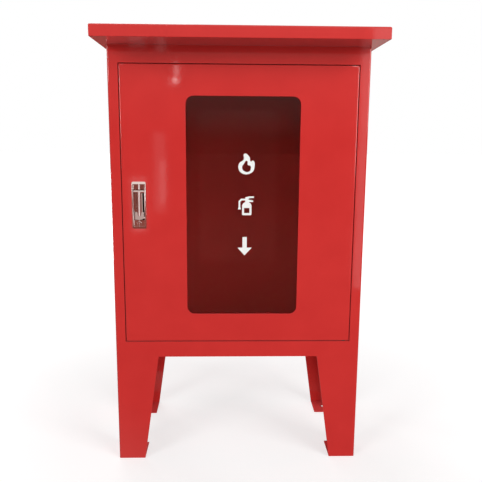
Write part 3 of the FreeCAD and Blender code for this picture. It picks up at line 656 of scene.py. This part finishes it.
# The back of the door's skin, the thickness of the frame on it, and half the width of an M4 nut
# over its corners, in millimetres.
STUD_DIAMETER = 4.0
SKIN_BACK = -103.8
PANE_FRAME_FLANGE = 1.0
M4_NUT_RADIUS = 7 / math.sqrt(3)
for node, name, tree, seat, axis, values in (
    (
        "pane_studs",
        "weld_studs_m4",
        bolts,
        SKIN_BACK,
        (0.0, 1.0, 0.0),
        {
            "Head radius": 2.2,
            "Head height": 0.3,
            "Shank start": -0.2,
            "Shank end": 5.2,
            "Thread pitch": 0.7,
        },
    ),
    (
        "pane_nuts",
        "pane_nuts_m4",
        nuts,
        SKIN_BACK + PANE_FRAME_FLANGE,
        (0.0, -1.0, 0.0),
        {"Radius": M4_NUT_RADIUS, "Height": 3.2},
    ),
):
    points = [(place.x, seat * MM, place.z) for place in solid_places(node)]
    sizes = {label: value * MM for label, value in values.items()}
    sizes.update({"Diameter": STUD_DIAMETER * MM, "Axis": axis, "Finish": zinc})
    piece = from_tree(name, points, tree, sizes)
    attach(piece, "door")
    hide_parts(node)


# The marks on the pane
# Three plain pictograms cut from white vinyl film and stuck to the outside of the pane, one above
# the other: a flame, a hand extinguisher and an arrow that points down.

# Calendered vinyl: a soft white with a low gloss, very slightly wavy where it was rubbed down.
vinyl, tree = new_material("white vinyl film")
rubbed = noise(tree, 160.0, 2.0)
ripple = add_node(tree, "ShaderNodeBump", {"Height": rubbed, "Distance": 0.03 * MM})
surfaced(
    tree,
    {
        "Base Color": mixed(tree, rubbed, linear("F6F4F2"), linear("EFEDEA")),
        "Roughness": 0.4,
        "IOR": 1.5,
        "Normal": ripple.outputs[0],
    },
)

# The outside of the pane and the film's thickness in millimetres, and each mark's outlines about
# its middle, the outer line first and then its hole.
PANE_FRONT = -102.3
FILM = 0.08
MARK_SCALE = 1.15
FLAME = (
    ((-6, -13), (-11, -6), (-9.5, 1), (-4, 5.5), (-3, 13.5))
    + ((4, 9), (6, 3), (8.5, 4.5), (11, -4), (7, -12)),
    ((-3, -10), (-6, -5), (-3.5, 0), (0.5, 4), (2, -2), (5, -2.5), (6, -6), (3.5, -10.5)),
)
BOTTLE = (
    ((-5.4, -13), (-6.2, -12), (-6.2, 0.6), (-4.6, 3.6), (-1.8, 5.2), (-1.8, 7.4), (-6.6, 7.4))
    + ((-8.6, 5.4), (-8.6, -1.5), (-7.6, -5), (-12, -5), (-11, -1.5), (-11, 6.4), (-7.6, 9.8))
    + ((-1.8, 9.8), (-1.8, 11.6), (3, 13), (10, 13), (10, 11), (3.6, 10.4), (2.6, 9.4))
    + ((2.6, 8.4), (9, 7.4), (9, 5.4), (2.6, 5.2), (5.2, 3.6), (6.8, 0.6), (6.8, -12), (6, -13)),
    ((-3.4, -10), (4, -10), (4, -3), (-3.4, -3)),
)
ARROW = (((-3, 13), (3, 13), (3, -2), (10, -2), (0, -13), (-10, -2), (-3, -2)),)
for name, outlines, rounded, place in (
    ("flame_mark", FLAME, True, (11.6, 497)),
    ("extinguisher_mark", BOTTLE, False, (12.2, 431)),
    ("arrow_mark", ARROW, False, (9.5, 366)),
):
    drawing = bpy.data.curves.new(name, "CURVE")
    drawing.dimensions = "2D"
    drawing.fill_mode = "BOTH"
    drawing.extrude = FILM / 2 * MM
    for outline in outlines:
        spline = drawing.splines.new("BEZIER")
        spline.bezier_points.add(len(outline) - 1)
        spline.use_cyclic_u = True
        spline.resolution_u = 6
        for knot, (x, z) in zip(spline.bezier_points, outline):
            knot.co = Vector((x, z, 0)) * MARK_SCALE * MM
            knot.handle_left_type = knot.handle_right_type = "AUTO" if rounded else "VECTOR"
    traced = bpy.data.objects.new(name, drawing)
    scene.collection.objects.link(traced)
    depsgraph = bpy.context.evaluated_depsgraph_get()
    mesh = bpy.data.meshes.new_from_object(traced.evaluated_get(depsgraph))
    bpy.data.objects.remove(traced)
    middle = Vector((place[0], PANE_FRONT - FILM / 2, place[1])) * MM
    mesh.transform(Matrix.Translation(middle) @ Matrix.Rotation(math.pi / 2, 4, "X"))
    mesh.materials.clear()
    mesh.materials.append(vinyl)
    mark = bpy.data.objects.new(name, mesh)
    scene.collection.objects.link(mark)
    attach(mark, "door")


# The handle
# A flush handle die-cast in zinc and chrome plated: a rim on the face of the door, a lever on a
# pin in its recess and a round button below it. A strap behind the door holds it with two screws.

# Decorative chrome: a near-white mirror, softened a little by polishing marks and fingers.
chrome, tree = new_material("chrome-plated zinc casting")
handled = noise(tree, 140.0, 4.0)
haze = ranged(tree, handled, 0.03, 0.09)
surfaced(tree, {"Base Color": linear("E3E0DE"), "Roughness": haze, "Metallic": 1.0})
softened("handle_housing", "flush_handle_housing", 0.25, "door", chrome)
softened("handle_lever", "pull_lever", 0.6, "lever", chrome, 30)
softened("release_button", "push_button", 0.2, "button", chrome)
softened("handle_bracket", "handle_strap", 0.2, "door", zinc)
softened("lever_pin", "lever_pivot_pin", 0.1, "door", zinc)


def pan_head_screw(length):
    """A screw that points along +Z from its seat: a domed head, and rings for its thread."""
    radius = SCREW_DIAMETER / 2
    root = radius * 0.85
    profile = []
    for step in range(6):
        turn = step * math.pi / 10
        profile.append((SCREW_HEAD / 2 * math.sin(turn), -SCREW_HEAD_HEIGHT * math.cos(turn)))
    profile.append((radius * 0.9, 0))
    for count in range(int(length / SCREW_PITCH)):
        for across_thread, along in ((root, 0.25), (radius, 0.6), (root, 0.95)):
            profile.append((across_thread, (count + along) * SCREW_PITCH))
    profile += [(radius * 0.5, length), (0, length)]
    shape = bmesh.new()
    line = [shape.verts.new((x, 0, z)) for x, z in profile]
    edges = [shape.edges.new(pair) for pair in zip(line, line[1:])]
    bmesh.ops.spin(
        shape,
        geom=line + edges,
        axis=(0, 0, 1),
        cent=(0, 0, 0),
        angle=2 * math.pi,
        steps=ROUND_SIDES,
        use_duplicate=False,
    )
    bmesh.ops.remove_doubles(shape, verts=shape.verts, dist=0.001)
    bmesh.ops.recalc_face_normals(shape, faces=shape.faces)
    return shape


# The M3 screws, in millimetres. The handle's point forward, with their heads at the back of the
# CAD node's box, and the catch's point back, with their heads at its front.
SCREW_DIAMETER = 3.0
SCREW_HEAD = 5.0
SCREW_HEAD_HEIGHT = 1.6
SCREW_PITCH = 0.5
for node, name, body, forwards in (
    ("handle_screws", "handle_screws_m3", "door", True),
    ("catch_screws", "catch_screws_m3", "cabinet", False),
):
    low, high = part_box(node)
    head = SCREW_HEAD_HEIGHT * MM
    seat = high.y - head if forwards else low.y + head
    length = (seat - low.y if forwards else high.y - seat) / MM
    turn = Matrix.Rotation(math.pi / 2 if forwards else -math.pi / 2, 4, "X")
    whole = bmesh.new()
    for place in solid_places(node):
        screw = pan_head_screw(length)
        middle = Matrix.Translation((place.x, seat, place.z))
        screw.transform(middle @ turn @ Matrix.Scale(MM, 4))
        part = bpy.data.meshes.new("screw")
        screw.to_mesh(part)
        screw.free()
        whole.from_mesh(part)
    for face in whole.faces:
        face.smooth = True
    mesh = bpy.data.meshes.new(name)
    whole.to_mesh(mesh)
    whole.free()
    mesh.materials.append(zinc)
    piece = bpy.data.objects.new(name, mesh)
    scene.collection.objects.link(piece)
    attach(piece, body)
    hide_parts(node)

# The spring strip, a rounded copy with a mesh of its own. The button travels 2.5 mm, towards the
# floor of its recess.
folded_spring = softened(
    "button_spring", "folded_button_spring", 0.05, "door", zinc
)
low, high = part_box("button_spring")
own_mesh(folded_spring)


# The hinges
# Steel pins welded into plates above and below the doorway turn in moulded bushes in the
# top and bottom edges of the door.
for end in ("top", "bottom"):
    softened(f"hinge_plate_{end}", f"{end}_hinge_plate", 0.3, "cabinet", zinc)
    softened(f"hinge_pin_{end}", f"{end}_hinge_pin", 0.3, "cabinet", zinc)

# Moulded nylon: near black with a satin skin.
nylon, tree = new_material("moulded nylon")
satin = ranged(tree, noise(tree, 300.0, 2.0), 0.35, 0.5)
surfaced(tree, {"Base Color": linear("2B2A2A"), "Roughness": satin})
for end in ("top", "bottom"):
    softened(f"hinge_bush_{end}", f"{end}_hinge_bush", 0.15, "door", nylon)


# The catch and the bumpers
# A magnet in a moulded case is screwed behind the door stop, reaches through it and holds the back
# of the door. Two tapered rubber buttons take the knock.
softened("catch_case", "catch_body", 0.5, "cabinet", nylon)

# Ground and nickel plated: a darker, warmer grey metal than zinc, with fine rub marks.
nickel, tree = new_material("nickel-plated magnet")
rub = noise(tree, 500.0, 3.0)
rub_gloss = ranged(tree, rub, 0.25, 0.45)
surfaced(tree, {"Base Color": linear("8D8A85"), "Roughness": rub_gloss, "Metallic": 1.0})
softened("catch_magnet", "catch_magnet_bar", 0.3, "cabinet", nickel)
softened("door_bumpers", "door_stop_buttons", 0.4, "cabinet", rubber)
